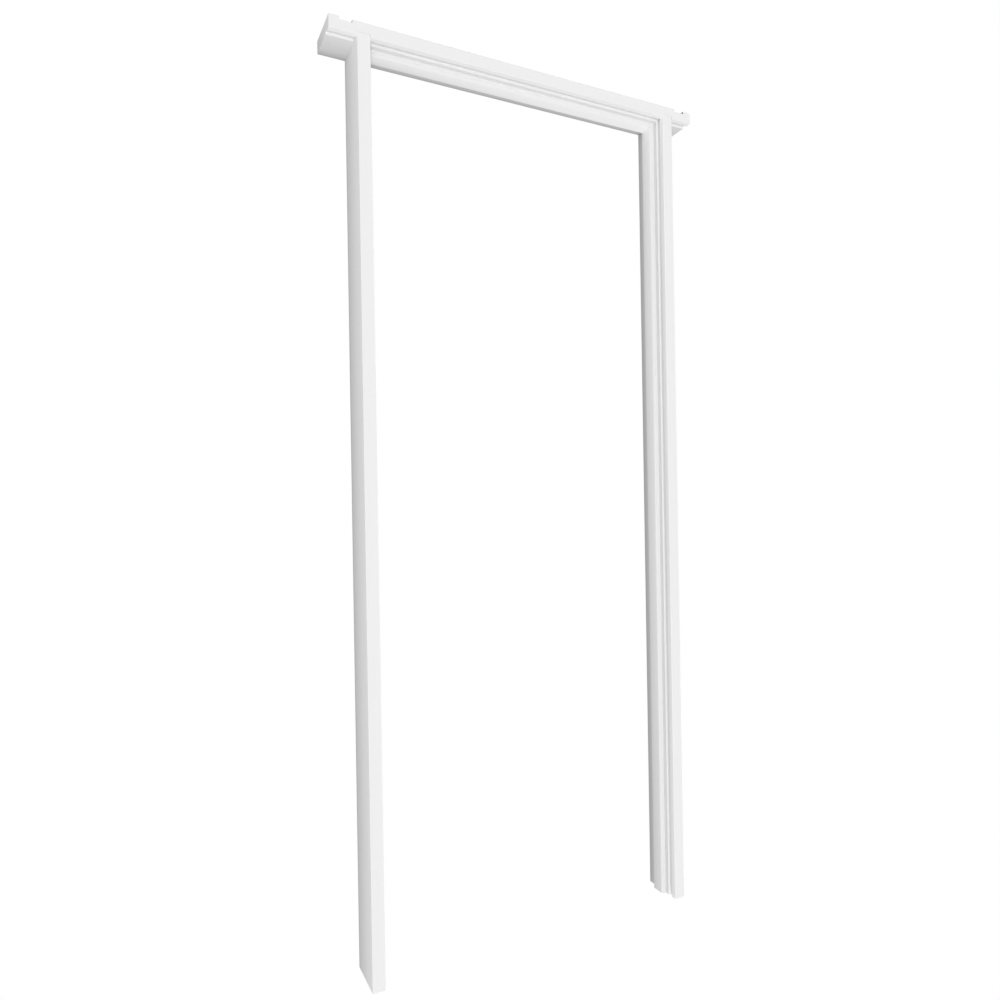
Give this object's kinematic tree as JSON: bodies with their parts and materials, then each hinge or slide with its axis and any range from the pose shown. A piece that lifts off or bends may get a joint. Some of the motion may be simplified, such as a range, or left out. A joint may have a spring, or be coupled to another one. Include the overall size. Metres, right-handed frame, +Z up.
{
  "type": "door lining",
  "caption": "Door lining with a two-sided trenched head, grooved jambs and planted stops, that lines a wall opening and holds a door leaf.",
  "frame": {"origin": "on the left jamb's outer face, at its foot, halfway across the board's width", "axes": "+X along the head from the left jamb to the right one, +Y from the door side to the back, +Z up"},
  "size_m": [0.944, 0.108, 2.045],
  "materials": {
    "primed_board": "smooth white primer",
    "primed_stop": "smooth white primer"
  },
  "bodies": {
    "root": {"head": "primed_board", "left_jamb": "primed_board", "right_jamb": "primed_board", "head_stop": "primed_stop", "left_stop": "primed_stop", "right_stop": "primed_stop"}
  },
  "joints": []
}
